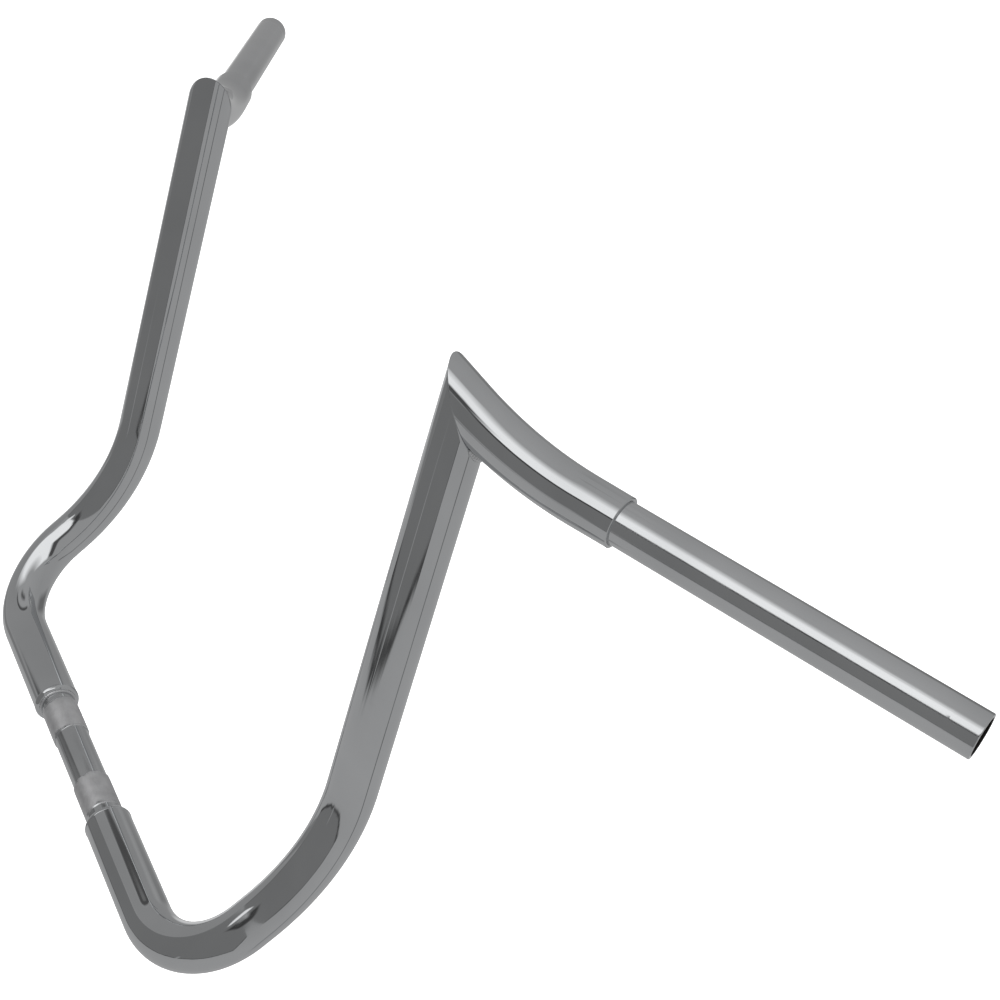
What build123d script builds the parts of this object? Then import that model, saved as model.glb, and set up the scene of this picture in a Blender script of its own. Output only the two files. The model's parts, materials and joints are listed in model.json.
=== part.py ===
from build123d import *
import os

# Motorcycle handlebar: a thin clamp tube in the middle, a fat bent riser tube each side,
# a pointed mitre at each riser's top, a swept top tube and a thin grip tube with an open end.
# X runs to the rider's right, Y forwards and Z up. The origin is the middle of the clamp tube.

# Tube sizes
INCH = 25.4
fat_radius = 1.25 * INCH / 2
fat_wall = 2.4
fat_bore = fat_radius - fat_wall
thin_radius = INCH / 2
spigot_radius = 12.3
middle_radius = 11.95
clamp_tube_bore = 9.5
grip_bore = 10.35
lip_radius = 14.85

# Centreline of the right-hand side: corners where its straight runs would meet, and bend radii
lower_corner = (213, 0, 0)
riser_foot = (216.4, -91.9, 82.4)
riser_top = (212, -132.5, 397.8)
top_elbow = (244.3, -151.2, 379)
grip_end = (482.2, -282.5, 357)
lower_bend_radius = 59
foot_bend_radius = 153
top_bend_radius = 213
tip_allowance = 32

# Clamp section, half-lengths from the origin
band_start = 26
band_end = 57
nose_face = 64
fat_end = 68
clamp_tube_end = 110
reducer_end = 104
nose_radius = 16.1
nose_rounding = 3
step_chamfer = 0.3
weld_leg = 1.6

# Grip section, distances back from the open end
grip_length = 207
inserted_length = 22
lip_rounding = 1
lip_bevel = 1
rim_chamfer = 0.5

# Weld bead in the mitre's inner corner
bead_height = 1.8
bead_depth = 4
bead_reach = 50

SIDES = {"left": -1, "right": 1}


def on_side(side, point):
    """A centreline point of the right-hand side, taken to the wanted side."""
    x, y, z = point
    return Vector(side * x, y, z)


def direction(start, end):
    return (end - start).normalized()


def swept_tube(path, outer, bore=0):
    """A round bar along a path, or a tube where it has a bore."""
    section = Circle(outer)
    if bore:
        section -= Circle(bore)
    return sweep(Plane(path ^ 0) * section, path=path)


def tapered_bar(path, start_radius, end_radius):
    """A round bar along a path, its radius changing evenly from end to end."""
    sections = [Plane(path ^ 0) * Circle(start_radius), Plane(path ^ 1) * Circle(end_radius)]
    return sweep(sections=sections, path=path, multisection=True)


def turned_ring(profile, side=1):
    """A turned piece about the X axis, from (distance along X, radius) corners."""
    outline = make_face(Polyline(*[(side * x, radius) for x, radius in profile], close=True))
    return revolve(outline, axis=Axis.X)


def mitre_plane(side):
    """The plane that halves the corner at the riser's top."""
    top = on_side(side, riser_top)
    up_riser = direction(on_side(side, riser_foot), top)
    along_top = direction(top, on_side(side, top_elbow))
    return Plane(origin=top, z_dir=up_riser + along_top)


def riser_path(side):
    """From the clamp end round the two bends and past the riser's top."""
    foot = on_side(side, riser_foot)
    top = on_side(side, riser_top)
    past_top = top + direction(foot, top) * tip_allowance
    corners = [Vector(side * fat_end, 0, 0), on_side(side, lower_corner), foot, past_top]
    return FilletPolyline(*corners, radius=[lower_bend_radius, foot_bend_radius])


def grip_axis(side):
    """The straight line out to the grip: its open end and its outward direction."""
    end = on_side(side, grip_end)
    return end, direction(on_side(side, top_elbow), end)


def top_path(side):
    """From behind the riser's top, round the gentle bend, to the fat tube's lip."""
    top = on_side(side, riser_top)
    elbow = on_side(side, top_elbow)
    before_top = top - direction(top, elbow) * tip_allowance
    end, outward = grip_axis(side)
    lip = end - outward * grip_length
    return FilletPolyline(before_top, elbow, lip, radius=top_bend_radius)


def top_envelope(side, corner_radius, end_radius):
    """The top tube's wall or bore: full size at the mitre's middle, slimmer at the lip."""
    path = top_path(side)
    taper = (corner_radius - end_radius) / (path.length - tip_allowance)
    return tapered_bar(path, corner_radius + taper * tip_allowance, end_radius)


def clamp_tube():
    """One tube with a raised knurled band each side of its slimmer middle."""
    half = [
        (band_start - step_chamfer, middle_radius),
        (band_start, thin_radius),
        (band_end, thin_radius),
        (band_end + step_chamfer, spigot_radius),
        (clamp_tube_end, spigot_radius),
        (clamp_tube_end, clamp_tube_bore),
    ]
    other_half = [(-x, radius) for x, radius in reversed(half)]
    return turned_ring(half + other_half)


def clamp_reducer(side):
    """The bush that centres the clamp tube in the fat tube, with a rounded nose outside."""
    ring = turned_ring(
        [
            (nose_face, spigot_radius),
            (nose_face, nose_radius),
            (fat_end, nose_radius),
            (fat_end, fat_bore),
            (reducer_end, fat_bore),
            (reducer_end, spigot_radius),
        ],
        side,
    )
    face_edges = ring.edges().filter_by(GeomType.CIRCLE).group_by(Axis.X)[0 if side > 0 else -1]
    return fillet(face_edges.sort_by(SortBy.RADIUS)[-1], nose_rounding)


def clamp_weld(side):
    """The small weld that closes the corner between the reducer's nose and the clamp tube."""
    return turned_ring(
        [
            (nose_face, spigot_radius),
            (nose_face - weld_leg, spigot_radius),
            (nose_face, spigot_radius + weld_leg),
        ],
        side,
    )


def riser_tube(side):
    tube = swept_tube(riser_path(side), fat_radius, fat_bore)
    return split(tube, bisect_by=mitre_plane(side), keep=Keep.BOTTOM)


def lip_weld(side):
    """The ring of weld that fills the lip's inside bevel, round the grip tube."""
    end, outward = grip_axis(side)
    lip = Plane(origin=end - outward * grip_length, z_dir=outward)
    leg_end = spigot_radius + lip_bevel
    corners = [(spigot_radius, 0), (leg_end, 0), (spigot_radius, -lip_bevel)]
    section = make_face(Polyline(*corners, close=True))
    return lip.location * revolve(Plane.XZ * section, axis=Axis.Z)


def top_tube(side):
    """The swept top, slimming from its pointed mitre to a rounded lip round the grip tube."""
    tube = top_envelope(side, fat_radius, lip_radius) - top_envelope(side, fat_bore, spigot_radius)
    tube = split(tube, bisect_by=mitre_plane(side), keep=Keep.TOP)
    end, outward = grip_axis(side)
    lip_face = tube.faces().sort_by_distance(end)[0]
    return fillet(lip_face.outer_wire().edges(), lip_rounding) - lip_weld(side)


def mitre_weld(side):
    """The bead in the inner corner, where a thin skin round each tube overlaps the other's."""
    corner = on_side(side, riser_top)
    up_riser = direction(on_side(side, riser_foot), corner)
    along_top = direction(corner, on_side(side, top_elbow))
    riser_start = Plane(origin=corner - up_riser * bead_reach, z_dir=up_riser)
    top_start = Plane(origin=corner, z_dir=along_top)
    riser_skin = extrude(riser_start * Circle(fat_radius + bead_height), amount=bead_reach)
    top_skin = extrude(top_start * Circle(fat_radius + bead_height), amount=bead_reach)
    bead = riser_skin & top_skin
    bead -= extrude(riser_start * Circle(fat_radius), amount=bead_reach)
    bead -= top_envelope(side, fat_radius, lip_radius)
    inward = along_top - up_riser
    inner_side = Plane(origin=corner + inward.normalized() * bead_depth, z_dir=inward)
    return split(bead, bisect_by=inner_side, keep=Keep.TOP).solids().sort_by(SortBy.VOLUME)[-1]


def grip_tube(side):
    """The thin tube for the hand: open at its end, its turned inner end inside the lip."""
    end, outward = grip_axis(side)
    lip = Plane(origin=end - outward * grip_length, z_dir=outward)
    grip = extrude(lip * Circle(thin_radius), amount=grip_length)
    grip += extrude(lip * Circle(spigot_radius), amount=-inserted_length)
    grip -= extrude(lip * Circle(grip_bore), amount=grip_length)
    grip -= extrude(lip * Circle(grip_bore), amount=-inserted_length)
    rims = grip.edges().filter_by(GeomType.CIRCLE).sort_by_distance(end)[:2]
    return chamfer(rims, rim_chamfer)


SIDE_PIECES = {
    "clamp_reducer": clamp_reducer,
    "clamp_weld": clamp_weld,
    "riser_tube": riser_tube,
    "mitre_weld": mitre_weld,
    "top_tube": top_tube,
    "lip_weld": lip_weld,
    "grip_tube": grip_tube,
}

os.makedirs("parts", exist_ok=True)
export_step(clamp_tube(), "parts/centre_clamp_tube.step")
for side_name, side_sign in SIDES.items():
    for piece_name, make_piece in SIDE_PIECES.items():
        export_step(make_piece(side_sign), f"parts/{side_name}_{piece_name}.step")
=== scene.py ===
import json
from math import cos, pi, radians, sin, tan

import bpy
from mathutils import Matrix, Quaternion, Vector


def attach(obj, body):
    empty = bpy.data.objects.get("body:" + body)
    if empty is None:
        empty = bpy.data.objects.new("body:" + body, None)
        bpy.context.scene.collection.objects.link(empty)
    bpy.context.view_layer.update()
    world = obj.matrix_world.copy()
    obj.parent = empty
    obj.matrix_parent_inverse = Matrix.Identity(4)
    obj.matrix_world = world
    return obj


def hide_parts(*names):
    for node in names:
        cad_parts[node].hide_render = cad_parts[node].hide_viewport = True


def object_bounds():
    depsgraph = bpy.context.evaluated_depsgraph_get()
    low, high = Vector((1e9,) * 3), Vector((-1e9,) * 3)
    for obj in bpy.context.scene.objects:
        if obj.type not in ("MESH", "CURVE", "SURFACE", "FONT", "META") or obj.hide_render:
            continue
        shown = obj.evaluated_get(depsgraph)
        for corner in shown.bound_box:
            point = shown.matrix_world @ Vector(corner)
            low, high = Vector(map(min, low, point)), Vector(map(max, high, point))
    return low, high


# A chromed handlebar of bent, mitred and swept tube, in the CAD frame and in metres:
# X to the rider's right, Y forwards, Z up, the origin in the middle of the clamp tube.

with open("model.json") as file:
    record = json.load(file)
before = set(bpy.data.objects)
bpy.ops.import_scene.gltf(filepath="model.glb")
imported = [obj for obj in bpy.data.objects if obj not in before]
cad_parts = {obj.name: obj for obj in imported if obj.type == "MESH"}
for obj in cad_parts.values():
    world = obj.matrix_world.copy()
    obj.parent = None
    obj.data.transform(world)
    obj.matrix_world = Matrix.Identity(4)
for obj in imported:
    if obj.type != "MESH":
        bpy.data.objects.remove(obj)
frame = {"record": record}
cad_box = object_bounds()

MM = 0.001
SIDES = {"left": -1, "right": 1}

# Centreline of the right-hand side: corners of its straight runs, and bend radii
LOWER_CORNER = Vector((213, 0, 0)) * MM
RISER_FOOT = Vector((216.4, -91.9, 82.4)) * MM
RISER_TOP = Vector((212, -132.5, 397.8)) * MM
TOP_ELBOW = Vector((244.3, -151.2, 379)) * MM
GRIP_END = Vector((482.2, -282.5, 357)) * MM
LOWER_BEND = 59 * MM
FOOT_BEND = 153 * MM
TOP_BEND = 213 * MM
PAST_CORNER = 32 * MM

# Tube sizes
FAT = 15.875 * MM
FAT_BORE = 13.475 * MM
LIP_RADIUS = 14.85 * MM
THIN = 12.7 * MM
SPIGOT = 12.3 * MM
GRIP_BORE = 10.35 * MM
GRIP_LENGTH = 207 * MM
INSERTED_LENGTH = 22 * MM
LIP_ROUND = 1 * MM
LIP_BEVEL = 1.3 * MM
LIP_GROOVE = 0.9 * MM
RIM_ROUND = 0.5 * MM
SEAM_ROUND = 0.3 * MM
SEAM_MIDDLE = SEAM_ROUND * 0.3
TRIM_LINE_BACK = 16 * MM
TRIM_LINE_WIDTH = 0.3 * MM
TRIM_LINE_DEPTH = 0.04 * MM

# Clamp section, distances from the middle
BAND_START = 26 * MM
BAND_END = 57 * MM
NOSE_FACE = 64 * MM
FAT_END = 68 * MM
REDUCER_END = 104 * MM
CLAMP_TUBE_END = 110 * MM
CLAMP_BORE = 9.5 * MM
MIDDLE = 11.95 * MM
SHOULDER = 0.6 * MM
NOSE_RADIUS = 16.1 * MM
NOSE_ROUND = 3 * MM
KNURL_PITCH = 1.25 * MM
KNURL_HEIGHT = 0.1 * MM
KNURL_FADE = 2.5 * MM
KNURL_MEAN = 0.62

# Welds
WELD_RADIUS = 1.2 * MM
WELD_SINK = 0.25 * MM
WELD_RIPPLE = 0.12
WELD_RIPPLES = 44
BEAD_RADIUS = 2.8 * MM
BEAD_SPAN = 1.3
BEAD_SINK = 0.5 * MM
BEAD_RIPPLE = 0.2
BEAD_RIPPLES = 16
BEAD_THINNEST = 0.02
BEAD_FULLNESS = 0.7

# Finish: how far past the bore's wall its painted shade (the bore's steel painted near black) fades, and
# the matte bands' ragged edges
BORE_SHADE_FADE_START = 0.2 * MM
BORE_SHADE_FADE_END = 0.6 * MM
BAND_RAGGED = 2 * MM
BAND_EDGE_OUTSIDE = 1 * MM
BAND_EDGE_INSIDE = 1.5 * MM

# Mesh fineness
AROUND = 144
ALONG = 260
KNURL_AROUND = 384
KNURL_STEP = 0.25 * MM
WELD_STEPS = 16
BEAD_COUNT = 160
MITRE_HALVINGS = 26
GRIP_ROWS = 70
RIM_ROWS = 8
BORE_ROWS = 20
PLAIN_STEPS = 8
SHARP_ANGLE = radians(50)

# Camera, from the fit of the bar's edges
CAMERA_PLACE = Vector((-0.9173, 0.2852, 0.8447))
CAMERA_FORWARD = Vector((0.7192, -0.4559, -0.5244))
CAMERA_RIGHT = Vector((-0.4398, -0.8829, 0.1645))
CAMERA_LENS = 63.18
CAMERA_SHIFT = (0.0046, 0.0045)
CAMERA_CLIP = 60

# Softbox and floor
SOFTBOX_AIM = Vector((0, -0.1, 0.2))
SOFTBOX_DIRECTION = Vector((-0.25, 0.5, 0.85)).normalized()
SOFTBOX_DISTANCE = 2.2
SOFTBOX_SIZE = (1.6, 1.0)
SOFTBOX_POWER = 40
FLOOR_DROP = 0.45
FLOOR_HALF = 30
FLOOR_GLOW = 0.85

# The studio that the chrome mirrors. Angles are degrees of azimuth from X towards Y and of elevation
WORLD_STRENGTH = 1.25
FLOOR_GREYS = [(-90, 0.37), (-40, 0.37), (-10, 0.345), (30, 0.34), (75, 0.37), (90, 0.38)]
PANEL_AIM = (88, -40)
PANEL_REACH = 72.5
PANEL_AZIMUTHS = (43, 156)
PANEL_FOOT = -25
PANEL_GREY = 0.185
PANEL_EDGE = 0.01
SEAM_WIDTH = 1.5
SEAM_GREY = 0.05
WAVINESS = 0.6
WAVE_SCALE = 5


def on_side(side, point):
    return Vector((side * point.x, point.y, point.z))


class Route:
    """Straight runs joined by tangent arcs. It carries a frame along without twisting it."""

    def __init__(self, corners, radii):
        self.runs = []
        self.length = 0
        heading = (corners[1] - corners[0]).normalized()
        turn = heading.to_track_quat("Z", "Y")
        place = corners[0]
        for corner, after, radius in zip(corners[1:], corners[2:], radii):
            new_heading = (after - corner).normalized()
            angle = heading.angle(new_heading)
            axis = heading.cross(new_heading).normalized()
            arc_start = corner - heading * radius * tan(angle / 2)
            self.add((arc_start - place).length, place, turn, None, 0)
            self.add(radius * angle, arc_start, turn, axis, radius)
            turn = Quaternion(axis, angle) @ turn
            heading = new_heading
            place = corner + heading * radius * tan(angle / 2)
        self.add((corners[-1] - place).length, place, turn, None, 0)

    def add(self, length, place, turn, axis, radius):
        self.runs.append((self.length, length, place, turn, axis, radius))
        self.length += length

    def at(self, distance):
        """The point and the frame's quaternion at a distance along the route."""
        for start, length, place, turn, axis, radius in self.runs:
            if distance <= start + length:
                break
        travel = distance - start
        if axis is None:
            return place + turn @ Vector((0, 0, travel)), turn
        bend = Quaternion(axis, travel / radius)
        centre = place + axis.cross(turn @ Vector((0, 0, 1))) * radius
        return centre + bend @ (place - centre), bend @ turn

    def on_wall(self, distance, radius, angle):
        point, turn = self.at(distance)
        return point + turn @ Vector((radius * cos(angle), radius * sin(angle), 0))


def angles_round(count):
    return [2 * pi * j / count for j in range(count)]


def between(first, last, count):
    return [first + (last - first) * i / count for i in range(count + 1)]


def closed_skin(name, rows, marks):
    """Quads between rows of points: the rows close on themselves, and the last meets the first.

    Each row's mark, a (distance, radius), gives its points their place on the unbent tube.
    """
    around = len(rows[0])
    points = [point for row in rows for point in row]
    faces = []
    for i in range(len(rows)):
        here = i * around
        there = (i + 1) % len(rows) * around
        for j in range(around):
            k = (j + 1) % around
            faces.append((here + j, here + k, there + k, there + j))
    mesh = bpy.data.meshes.new(name)
    mesh.from_pydata(points, [], faces)
    unbent = mesh.attributes.new("unbent", "FLOAT_VECTOR", "POINT")
    places = []
    for distance, radius in marks:
        for angle in angles_round(around):
            places += [radius * cos(angle), radius * sin(angle), distance]
    unbent.data.foreach_set("vector", places)
    mesh.polygons.foreach_set("use_smooth", [True] * len(mesh.polygons))
    mesh.set_sharp_from_angle(angle=SHARP_ANGLE)
    piece = bpy.data.objects.new(name, mesh)
    bpy.context.collection.objects.link(piece)
    return piece


def lathe(name, profile, base, turn):
    """A turned piece from (distance along the axis, radius) points, closed round its wall."""
    rows = [
        [base + turn @ Vector((radius * cos(a), radius * sin(a), distance)) for a in angles_round(AROUND)]
        for distance, radius in profile
    ]
    return closed_skin(name, rows, profile)


def quarter_round(centre, radius, start_angle, steps=8, sweep=pi / 2):
    """Points of (distance, radius) on a round edge, from start_angle through sweep."""
    turns = [start_angle + sweep * i / steps for i in range(steps + 1)]
    return [(centre[0] + radius * cos(t), centre[1] + radius * sin(t)) for t in turns]


# The mitred fat tubes

def mitre_normal(side):
    up_riser = (on_side(side, RISER_TOP) - on_side(side, RISER_FOOT)).normalized()
    along_top = (on_side(side, TOP_ELBOW) - on_side(side, RISER_TOP)).normalized()
    return (up_riser + along_top).normalized()


def mitre_crossing(route, side, shape, inset, angle):
    """How far along the route a line of its wall meets the mitre plane."""
    corner = on_side(side, RISER_TOP)
    normal = mitre_normal(side)

    def is_past(distance):
        return (route.on_wall(distance, shape(distance) - inset, angle) - corner).dot(normal) > 0

    near, far = 0, 3 * PAST_CORNER
    near_side = is_past(near)
    for _ in range(MITRE_HALVINGS):
        middle = (near + far) / 2
        if is_past(middle) == near_side:
            near = middle
        else:
            far = middle
    return near


def mitred_rows(route, side, shape, inset, steps):
    """Rows of a wall or bore, from (fraction of the way to the far end, offset) steps."""
    angles = angles_round(AROUND)
    starts = [mitre_crossing(route, side, shape, inset, angle) for angle in angles]
    rows = []
    for fraction, offset in steps:
        row = []
        for angle, start in zip(angles, starts):
            distance = start + fraction * (route.length - start) + offset
            row.append(route.on_wall(distance, shape(distance) - inset, angle))
        rows.append(row)
    marks = [(fraction * route.length, shape(fraction * route.length)) for fraction, _ in steps]
    return rows, marks


def mitred_tube(name, route, side, wall, bore, end_profile):
    """A fat tube from the mitre plane, with a round-over at the seam, to a turned far end."""
    fractions = between(0, 1, ALONG)
    outward = [(f, SEAM_ROUND * (1 - f)) for f in fractions[:-1]]
    backward = [(f, 0) for f in reversed(fractions[:-1])]
    rows, marks = mitred_rows(route, side, wall, SEAM_ROUND, [(0, 0)])
    for inset, steps in ((SEAM_MIDDLE, [(0, SEAM_MIDDLE)]), (0, outward)):
        more_rows, more_marks = mitred_rows(route, side, wall, inset, steps)
        rows += more_rows
        marks += more_marks
    for back, radius in end_profile:
        rows.append([route.on_wall(route.length + back, radius, a) for a in angles_round(AROUND)])
        marks.append((route.length + back, radius))
    more_rows, more_marks = mitred_rows(route, side, bore, 0, backward)
    return closed_skin(name, rows + more_rows, marks + more_marks)


def riser_tube(name, side):
    top = on_side(side, RISER_TOP)
    foot = on_side(side, RISER_FOOT)
    past_top = top + (top - foot).normalized() * PAST_CORNER
    corners = [past_top, foot, on_side(side, LOWER_CORNER), Vector((side * FAT_END, 0, 0))]
    route = Route(corners, [FOOT_BEND, LOWER_BEND])
    square_end = [(0, FAT), (0, FAT_BORE)]
    return mitred_tube(name, route, side, lambda _: FAT, lambda _: FAT_BORE, square_end)


def grip_outward(side):
    return (on_side(side, GRIP_END) - on_side(side, TOP_ELBOW)).normalized()


def tapering(route, corner_radius, end_radius):
    """Radius along a top tube: full size at the mitre's middle and slimmer at the lip."""
    slope = (corner_radius - end_radius) / (route.length - PAST_CORNER)
    return lambda distance: end_radius + slope * (route.length - distance)


def top_tube(name, side):
    top = on_side(side, RISER_TOP)
    elbow = on_side(side, TOP_ELBOW)
    before_top = top - (elbow - top).normalized() * PAST_CORNER
    lip_centre = on_side(side, GRIP_END) - grip_outward(side) * GRIP_LENGTH
    route = Route([before_top, elbow, lip_centre], [TOP_BEND])
    lip = [(-2 * LIP_ROUND, LIP_RADIUS)]
    lip += quarter_round((-LIP_ROUND, LIP_RADIUS - LIP_ROUND), LIP_ROUND, pi / 2, 8, -pi / 2)
    lip += [(0, SPIGOT + LIP_BEVEL), (-LIP_BEVEL, SPIGOT)]
    wall = tapering(route, FAT, LIP_RADIUS)
    bore = tapering(route, FAT_BORE, SPIGOT)
    return mitred_tube(name, route, side, wall, bore, lip)


# The grips

def lip_weld(name, side):
    """A hollow-faced fillet of weld, a little below the lip's face, round the grip tube."""
    outward = grip_outward(side)
    lip_centre = on_side(side, GRIP_END) - outward * GRIP_LENGTH
    depth = LIP_BEVEL - LIP_GROOVE
    centre = (-LIP_GROOVE, SPIGOT + LIP_BEVEL)
    profile = [(-LIP_BEVEL, SPIGOT - WELD_SINK)]
    profile += quarter_round(centre, depth, 0, 8, -pi / 2)[::-1]
    profile += [(-LIP_GROOVE, SPIGOT - WELD_SINK)]
    return lathe(name, profile, lip_centre, outward.to_track_quat("Z", "Y"))


def grip_tube(name, side):
    """Open at the hand's end, with a faint trim line near it, and running on inside the lip."""
    inner_end = -GRIP_LENGTH - INSERTED_LENGTH
    trim = -TRIM_LINE_BACK
    profile = [(inner_end, GRIP_BORE), (inner_end, SPIGOT), (-GRIP_LENGTH, SPIGOT)]
    profile += [(d, THIN) for d in between(-GRIP_LENGTH, trim - TRIM_LINE_WIDTH, GRIP_ROWS)]
    profile += [(trim, THIN - TRIM_LINE_DEPTH), (trim + TRIM_LINE_WIDTH, THIN)]
    profile += [(d, THIN) for d in between(trim + 2 * TRIM_LINE_WIDTH, -2 * RIM_ROUND, RIM_ROWS)]
    profile += quarter_round((-RIM_ROUND, THIN - RIM_ROUND), RIM_ROUND, pi / 2, 6, -pi / 2)
    profile += quarter_round((-RIM_ROUND, GRIP_BORE + RIM_ROUND), RIM_ROUND, 0, 6, -pi / 2)
    profile += [(d, GRIP_BORE) for d in between(-2 * RIM_ROUND, -GRIP_LENGTH, BORE_ROWS)]
    turn = grip_outward(side).to_track_quat("Z", "Y")
    return lathe(name, profile, on_side(side, GRIP_END), turn)


# The clamp section

def across(side):
    """Turns the lathe's axis onto X, pointing out to that side."""
    return Vector((side, 0, 0)).to_track_quat("Z", "Y")


def clamp_reducer(name, side):
    """The bush between clamp tube and fat tube. Its rounded nose is the ring that shows."""
    nose_centre = (NOSE_FACE + NOSE_ROUND, NOSE_RADIUS - NOSE_ROUND)
    rim_centre = (FAT_END - RIM_ROUND, NOSE_RADIUS - RIM_ROUND)
    profile = [(NOSE_FACE, SPIGOT)]
    profile += quarter_round(nose_centre, NOSE_ROUND, pi, 12, -pi / 2)
    profile += quarter_round(rim_centre, RIM_ROUND, pi / 2, 4, -pi / 2)
    profile += [(FAT_END, FAT_BORE), (REDUCER_END, FAT_BORE), (REDUCER_END, SPIGOT)]
    return lathe(name, profile, Vector(), across(side))


def knurl(distance, angle):
    """Height of the diamond knurl on a clamp band, fading out at the band's two ends."""
    from_edge = min(abs(distance) - BAND_START, BAND_END - abs(distance))
    if from_edge <= 0:
        return 0
    fade = min(1, from_edge / KNURL_FADE)
    lean = THIN * angle
    ridges = [sin(2 * pi * (distance + way * lean) / KNURL_PITCH) for way in (1, -1)]
    return KNURL_HEIGHT * fade * (KNURL_MEAN + (1 - KNURL_MEAN) * ridges[0] * ridges[1])


def clamp_tube(name):
    """The clamp tube, with two knurled bands and a slimmer polished middle."""
    angles = angles_round(KNURL_AROUND)
    rows = []
    marks = []
    for distance in between(-CLAMP_TUBE_END, CLAMP_TUBE_END, round(2 * CLAMP_TUBE_END / KNURL_STEP)):
        away = abs(distance)
        near_band = BAND_START - 2 * SHOULDER <= away <= BAND_END + 2 * SHOULDER
        if near_band or round(away / KNURL_STEP) % PLAIN_STEPS == 0:
            rise = min(1, max(0, (away - BAND_START + SHOULDER) / SHOULDER))
            fall = min(1, max(0, (away - BAND_END) / SHOULDER))
            radius = MIDDLE + (THIN - MIDDLE) * rise - (THIN - SPIGOT) * fall
            heights = [radius + knurl(distance, a) for a in angles]
            rows.append([(distance, r * cos(a), r * sin(a)) for r, a in zip(heights, angles)])
            marks.append((distance, radius))
    for distance in (CLAMP_TUBE_END, -CLAMP_TUBE_END):
        rows.append([(distance, CLAMP_BORE * cos(a), CLAMP_BORE * sin(a)) for a in angles])
        marks.append((distance, CLAMP_BORE))
    return closed_skin(name, rows, marks)


def clamp_weld(name, side):
    """A small rippled weld ring in the corner between the nose and the clamp tube."""
    turn = across(side)
    rows = []
    marks = []
    for t in angles_round(WELD_STEPS):
        row = []
        for a in angles_round(KNURL_AROUND):
            size = WELD_RADIUS * (1 + WELD_RIPPLE * abs(sin(a * WELD_RIPPLES / 2)))
            radius = SPIGOT + WELD_SINK + size * sin(t)
            distance = NOSE_FACE - WELD_SINK - size * cos(t)
            row.append(turn @ Vector((radius * cos(a), radius * sin(a), distance)))
        rows.append(row)
        marks.append((NOSE_FACE - WELD_RADIUS * cos(t), SPIGOT + WELD_RADIUS * sin(t)))
    return closed_skin(name, rows, marks)


def mitre_weld(name, side):
    """The bead in the mitre's inner corner: fat at the bottom of the corner, gone at its ends."""
    corner = on_side(side, RISER_TOP)
    normal = mitre_normal(side)
    up_riser = (corner - on_side(side, RISER_FOOT)).normalized()
    along_top = (on_side(side, TOP_ELBOW) - corner).normalized()
    inward = (along_top - up_riser).normalized()
    across_seam = normal.cross(inward).normalized()
    reach = FAT / cos(up_riser.angle(along_top) / 2)
    rows = []
    marks = []
    for part in between(-0.5, 0.5, BEAD_COUNT):
        swing = BEAD_SPAN * part
        size = BEAD_RADIUS * max(BEAD_THINNEST, cos(pi * part)) ** BEAD_FULLNESS
        size *= 1 + BEAD_RIPPLE * abs(sin(pi * BEAD_RIPPLES * part))
        out = inward * cos(swing) * (reach - BEAD_SINK) + across_seam * sin(swing) * (FAT - BEAD_SINK)
        radial = (inward * cos(swing) / reach + across_seam * sin(swing) / FAT).normalized()
        ring = angles_round(WELD_STEPS)
        rows.append([corner + out + (radial * cos(t) + normal * sin(t)) * size for t in ring])
        marks.append((FAT * swing, size))
    return closed_skin(name, rows, marks)


# Materials

# The mix node's places for its first value, its second value and its result
MIX_SOCKETS = {"FLOAT": (2, 3, 0), "RGBA": (6, 7, 2)}


def node_material(name):
    material = bpy.data.materials.new(name)
    material.use_nodes = True
    tree = material.node_tree
    return material, tree, tree.nodes["Principled BSDF"]


def noise(tree, scale, detail, stretch=(1, 1, 1)):
    """Noise in the unbent tube's coordinates, so that its third axis runs along the tube."""
    place = tree.nodes.new("ShaderNodeAttribute")
    place.attribute_name = "unbent"
    fit = tree.nodes.new("ShaderNodeMapping")
    fit.inputs["Scale"].default_value = stretch
    texture = tree.nodes.new("ShaderNodeTexNoise")
    texture.inputs["Scale"].default_value = scale
    texture.inputs["Detail"].default_value = detail
    tree.links.new(place.outputs["Vector"], fit.inputs["Vector"])
    tree.links.new(fit.outputs["Vector"], texture.inputs["Vector"])
    return texture.outputs["Fac"]


def spread(tree, value, low, high, from_low=0.3, from_high=0.7):
    """Maps one range of a value onto another, and stops at its ends."""
    node = tree.nodes.new("ShaderNodeMapRange")
    node.inputs["From Min"].default_value = from_low
    node.inputs["From Max"].default_value = from_high
    node.inputs["To Min"].default_value = low
    node.inputs["To Max"].default_value = high
    tree.links.new(value, node.inputs["Value"])
    return node.outputs["Result"]


def colour_ramp(tree, value, stops):
    ramp = tree.nodes.new("ShaderNodeValToRGB")
    elements = ramp.color_ramp.elements
    while len(elements) < len(stops):
        elements.new(0.5)
    for element, (position, colour) in zip(elements, stops):
        element.position = position
        element.color = (*colour, 1)
    tree.links.new(value, ramp.inputs["Fac"])
    return ramp.outputs["Color"]


def bump(tree, height, distance, under=None):
    node = tree.nodes.new("ShaderNodeBump")
    node.inputs["Distance"].default_value = distance
    tree.links.new(height, node.inputs["Height"])
    if under:
        tree.links.new(under, node.inputs["Normal"])
    return node.outputs["Normal"]


def math_node(tree, operation, first, second=None):
    node = tree.nodes.new("ShaderNodeMath")
    node.operation = operation
    tree.links.new(first, node.inputs[0])
    if second:
        tree.links.new(second, node.inputs[1])
    return node.outputs[0]


def unbent_axes(tree):
    place = tree.nodes.new("ShaderNodeAttribute")
    place.attribute_name = "unbent"
    split = tree.nodes.new("ShaderNodeSeparateXYZ")
    tree.links.new(place.outputs["Vector"], split.inputs["Vector"])
    return split.outputs


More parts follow.
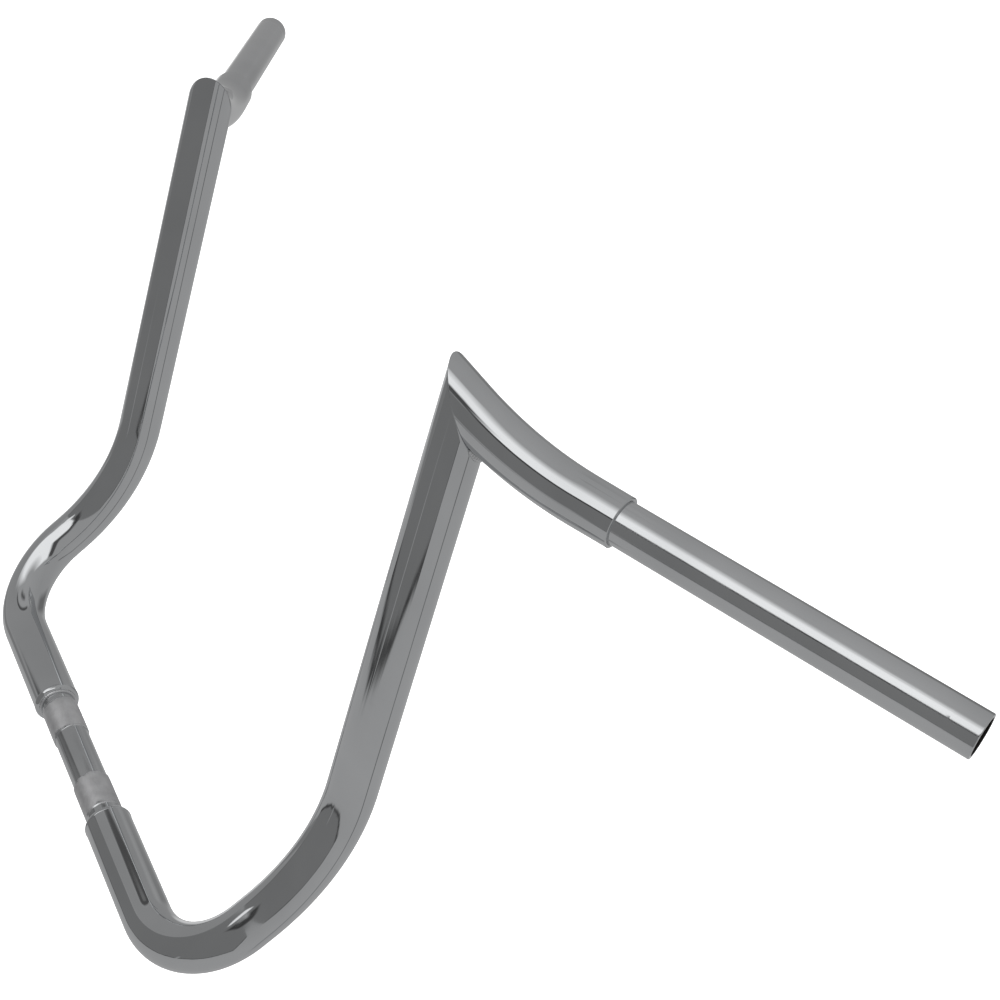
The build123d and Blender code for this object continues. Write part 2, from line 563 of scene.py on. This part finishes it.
def chrome(name, dark, light, smooth, hazy, wave, streak):
    """Plated steel: slow tint and haze changes, slight waves and fine draw marks along the tube."""
    material, tree, shader = node_material(name)
    shader.inputs["Metallic"].default_value = 1
    tint = colour_ramp(tree, noise(tree, 14, 3), [(0.3, dark), (0.7, light)])
    tree.links.new(tint, shader.inputs["Base Color"])
    tree.links.new(spread(tree, noise(tree, 55, 5), smooth, hazy), shader.inputs["Roughness"])
    waves = bump(tree, noise(tree, 24, 1, (1, 1, 0.6)), wave)
    marks = bump(tree, noise(tree, 700, 3, (1, 1, 0.015)), streak, waves)
    tree.links.new(marks, shader.inputs["Normal"])
    return material


def mixed(tree, shader, socket, mask, value, kind="FLOAT"):
    """Puts another value on the shader's socket wherever the mask is set."""
    mix = tree.nodes.new("ShaderNodeMix")
    mix.data_type = kind
    first, second, result = MIX_SOCKETS[kind]
    tree.links.new(mask, mix.inputs["Factor"])
    tree.links.new(shader.inputs[socket].links[0].from_socket, mix.inputs[first])
    tree.links.new(value, mix.inputs[second])
    tree.links.new(mix.outputs[result], shader.inputs[socket])


def grip_chrome(name, **finish):
    """Bright outside; the bore is unplated steel, painted near black as painted shade inside the tube."""
    material = chrome(name, **finish)
    tree = material.node_tree
    shader = tree.nodes["Principled BSDF"]
    x, y, _ = unbent_axes(tree)
    squares = [math_node(tree, "MULTIPLY", axis, axis) for axis in (x, y)]
    radius = math_node(tree, "SQRT", math_node(tree, "ADD", *squares))
    # Painted shade: the bore's colour is painted near black, darkening the inside of the tube
    bore = spread(tree, radius, 1, 0, GRIP_BORE + BORE_SHADE_FADE_START, GRIP_BORE + BORE_SHADE_FADE_END)
    tones = [(0.3, (0.02, 0.02, 0.02)), (0.7, (0.06, 0.055, 0.05))]
    mixed(tree, shader, "Base Color", bore, colour_ramp(tree, noise(tree, 90, 4), tones), "RGBA")
    mixed(tree, shader, "Roughness", bore, spread(tree, noise(tree, 90, 4), 0.5, 0.7))
    return material


def clamp_steel(name, **finish):
    """Plated like the rest in the middle, and mottled matte on the two knurled bands."""
    material = chrome(name, **finish)
    tree = material.node_tree
    shader = tree.nodes["Principled BSDF"]
    _, _, along = unbent_axes(tree)
    away = math_node(tree, "ABSOLUTE", along)
    ragged = math_node(tree, "ADD", away, spread(tree, noise(tree, 130, 3), -BAND_RAGGED, BAND_RAGGED))
    rising = spread(tree, ragged, 0, 1, BAND_START - BAND_EDGE_OUTSIDE, BAND_START + BAND_EDGE_INSIDE)
    falling = spread(tree, ragged, 1, 0, BAND_END - BAND_EDGE_INSIDE, BAND_END + BAND_EDGE_OUTSIDE)
    matte = math_node(tree, "MULTIPLY", rising, falling)
    tones = [(0.3, (0.62, 0.62, 0.63)), (0.7, (0.76, 0.76, 0.77))]
    mixed(tree, shader, "Base Color", matte, colour_ramp(tree, noise(tree, 110, 3), tones), "RGBA")
    mixed(tree, shader, "Roughness", matte, spread(tree, noise(tree, 260, 4), 0.36, 0.6))
    return material


MATERIALS = {
    "polished_chrome": chrome(
        "polished_chrome", dark=(0.55, 0.56, 0.57), light=(0.61, 0.62, 0.63),
        smooth=0.035, hazy=0.07, wave=0.06 * MM, streak=0.008 * MM,
    ),
    "grip_chrome": grip_chrome(
        "grip_chrome", dark=(0.56, 0.57, 0.58), light=(0.62, 0.63, 0.64),
        smooth=0.08, hazy=0.13, wave=0.06 * MM, streak=0.03 * MM,
    ),
    "weld_steel": chrome(
        "weld_steel", dark=(0.52, 0.52, 0.53), light=(0.70, 0.71, 0.72),
        smooth=0.22, hazy=0.38, wave=0.5 * MM, streak=0.01 * MM,
    ),
    "clamp_steel": clamp_steel(
        "clamp_steel", dark=(0.52, 0.53, 0.54), light=(0.60, 0.61, 0.62),
        smooth=0.07, hazy=0.13, wave=0.1 * MM, streak=0.01 * MM,
    ),
}

NODE_SLOTS = {row["node"]: row["material_slot"] for row in frame["record"]["subparts"]}


def settle(piece, node):
    """Gives a piece its node's finish and its place on the bar."""
    slot = NODE_SLOTS[node]
    piece.data.materials.append(MATERIALS[slot])
    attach(piece, "root")
    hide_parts(node)


# Studio

def add_camera():
    data = bpy.data.cameras.new("camera")
    data.sensor_width = 36
    data.lens = CAMERA_LENS
    data.shift_x, data.shift_y = CAMERA_SHIFT
    data.clip_end = CAMERA_CLIP
    camera = bpy.data.objects.new("camera", data)
    bpy.context.collection.objects.link(camera)
    forward = CAMERA_FORWARD.normalized()
    right = (CAMERA_RIGHT - forward * CAMERA_RIGHT.dot(forward)).normalized()
    turn = Matrix((right, right.cross(forward), -forward)).transposed().to_4x4()
    camera.matrix_world = Matrix.Translation(CAMERA_PLACE) @ turn
    bpy.context.scene.camera = camera


def add_softbox():
    """Soft light on the floor. The chrome mirrors the world's tones instead of this panel."""
    data = bpy.data.lights.new("softbox", "AREA")
    data.shape = "RECTANGLE"
    data.size, data.size_y = SOFTBOX_SIZE
    data.energy = SOFTBOX_POWER
    light = bpy.data.objects.new("softbox", data)
    place = Matrix.Translation(SOFTBOX_AIM + SOFTBOX_DIRECTION * SOFTBOX_DISTANCE)
    turn = SOFTBOX_DIRECTION.to_track_quat("Z", "Y").to_matrix().to_4x4()
    light.matrix_world = place @ turn
    light.visible_glossy = False
    bpy.context.collection.objects.link(light)


def add_floor():
    """A pale, faintly glowing floor below the bar. The chrome mirrors the world's tones instead."""
    material, tree, shader = node_material("floor")
    shader.inputs["Roughness"].default_value = 0.9
    tones = [(0.3, (0.93, 0.93, 0.93)), (0.7, (0.95, 0.95, 0.95))]
    tree.links.new(colour_ramp(tree, noise(tree, 2, 2), tones), shader.inputs["Base Color"])
    shader.inputs["Emission Color"].default_value = (1, 1, 1, 1)
    shader.inputs["Emission Strength"].default_value = FLOOR_GLOW
    low = cad_box[0][2] - FLOOR_DROP
    quarters = ((-1, -1), (1, -1), (1, 1), (-1, 1))
    corners = [(x * FLOOR_HALF, y * FLOOR_HALF, low) for x, y in quarters]
    mesh = bpy.data.meshes.new("floor")
    mesh.from_pydata(corners, [], [(0, 1, 2, 3)])
    mesh.materials.append(material)
    floor = bpy.data.objects.new("floor", mesh)
    floor.visible_glossy = False
    bpy.context.collection.objects.link(floor)


def dot(tree, vector, azimuth, elevation):
    """The cosine of the angle between a direction and a fixed one."""
    node = tree.nodes.new("ShaderNodeVectorMath")
    node.operation = "DOT_PRODUCT"
    level = cos(radians(elevation))
    fixed = (level * cos(radians(azimuth)), level * sin(radians(azimuth)), sin(radians(elevation)))
    node.inputs[1].default_value = fixed
    tree.links.new(vector, node.inputs[0])
    return node.outputs["Value"]


def inside(tree, angle, first, last, first_edge, last_edge):
    """A mask over the angles between two limits, in degrees, with an edge of its own at each."""
    rising = spread(tree, angle, 0, 1, radians(first - first_edge), radians(first + first_edge))
    falling = spread(tree, angle, 1, 0, radians(last - last_edge), radians(last + last_edge))
    return math_node(tree, "MULTIPLY", rising, falling)


def paint(tree, under, mask, grey):
    mix = tree.nodes.new("ShaderNodeMix")
    mix.data_type = "RGBA"
    first, second, result = MIX_SOCKETS["RGBA"]
    tree.links.new(mask, mix.inputs["Factor"])
    tree.links.new(under, mix.inputs[first])
    mix.inputs[second].default_value = (grey, grey, grey, 1)
    return mix.outputs[result]


def add_world():
    """The studio the chrome mirrors: a high softbox, a grey panel below it and dark gaps."""
    world = bpy.data.worlds.new("studio")
    world.use_nodes = True
    tree = world.node_tree
    place = tree.nodes.new("ShaderNodeTexCoord")
    split = tree.nodes.new("ShaderNodeSeparateXYZ")
    tree.links.new(place.outputs["Generated"], split.inputs["Vector"])
    x, y, z = split.outputs
    ripple = tree.nodes.new("ShaderNodeTexNoise")
    ripple.inputs["Scale"].default_value = WAVE_SCALE
    tree.links.new(place.outputs["Generated"], ripple.inputs["Vector"])
    sway = radians(WAVINESS)
    wave = spread(tree, ripple.outputs["Fac"], -sway, sway)
    azimuth = math_node(tree, "ADD", math_node(tree, "ARCTAN2", y, x), wave)
    elevation = math_node(tree, "ADD", math_node(tree, "ARCSINE", z), wave)

    def patch(under, azimuths, elevations, grey, side_edge=2, low_edge=1, high_edge=1):
        sideways = inside(tree, azimuth, *azimuths, side_edge, side_edge)
        upward = inside(tree, elevation, *elevations, low_edge, high_edge)
        return paint(tree, under, math_node(tree, "MULTIPLY", sideways, upward), grey)

    stops = [(0.5 + 0.5 * sin(radians(angle)), (grey, grey, grey)) for angle, grey in FLOOR_GREYS]
    tone = colour_ramp(tree, spread(tree, z, 0, 1, -1, 1), stops)

    # The open side, with its dark gaps
    tone = patch(tone, (-41, 46), (-12, 44), 0.285, 3, 4, 1)
    tone = patch(tone, (-27, 34), (45, 49.5), 0.08, 4, 1, 1.5)
    tone = patch(tone, (-20, 22), (61, 68), 0.10, 6, 3, 3)
    tone = patch(tone, (-26, 9), (-29, -10), 0.62, 4, 4, 4)
    tone = patch(tone, (-80, -46), (-22, 12), 0.17, 8, 5, 8)

    # The softbox, and the dark hood under its far half
    tone = patch(tone, (46, 178), (32, 67), 1.02, 7, 0.8, 10)
    tone = patch(tone, (122, 179), (27, 40), 0.08, 4, 2, 3)

    # The grey panel, with a dark seam round it and a wider gap below the softbox
    reach = cos(radians(PANEL_REACH))
    cosine = dot(tree, place.outputs["Generated"], *PANEL_AIM)
    cap = spread(tree, cosine, 0, 1, reach, reach + PANEL_EDGE)
    first, last = PANEL_AZIMUTHS
    for margin, grey in ((SEAM_WIDTH, SEAM_GREY), (0, PANEL_GREY)):
        above = inside(tree, elevation, PANEL_FOOT - margin, 90, 0.5, 1)
        between_sides = inside(tree, azimuth, first - margin, last + margin, 1, 0.5)
        mask = math_node(tree, "MULTIPLY", math_node(tree, "MULTIPLY", cap, above), between_sides)
        tone = paint(tree, tone, mask, grey)
    tone = patch(tone, (14, 42), (-24, -13), 0.21, 3, 0.5, 2)
    tone = patch(tone, (90, 124), (26.5, 31.6), 0.05, 4, 1, 0.5)
    tone = patch(tone, (63, 78), (29, 34), 0.95, 1.5, 0.5, 1)
    tone = patch(tone, (95, 97), (-27, -19), 0.33, 0.7, 0.5, 2)
    tone = patch(tone, (-151, -147), (-60, -10), 0.14, 1, 4, 4)

    background = tree.nodes["Background"]
    background.inputs["Strength"].default_value = WORLD_STRENGTH
    tree.links.new(tone, background.inputs["Color"])
    bpy.context.scene.world = world


SIDE_PIECES = {
    "clamp_reducer": clamp_reducer,
    "clamp_weld": clamp_weld,
    "riser_tube": riser_tube,
    "mitre_weld": mitre_weld,
    "top_tube": top_tube,
    "lip_weld": lip_weld,
    "grip_tube": grip_tube,
}

settle(clamp_tube("clamp_tube_mesh"), "centre_clamp_tube")
for side_name, side_sign in SIDES.items():
    for piece_name, make_piece in SIDE_PIECES.items():
        node = f"{side_name}_{piece_name}"
        settle(make_piece(f"{node}_mesh", side_sign), node)

add_camera()
add_floor()
add_world()
add_softbox()
bpy.context.scene.view_settings.view_transform = "Standard"
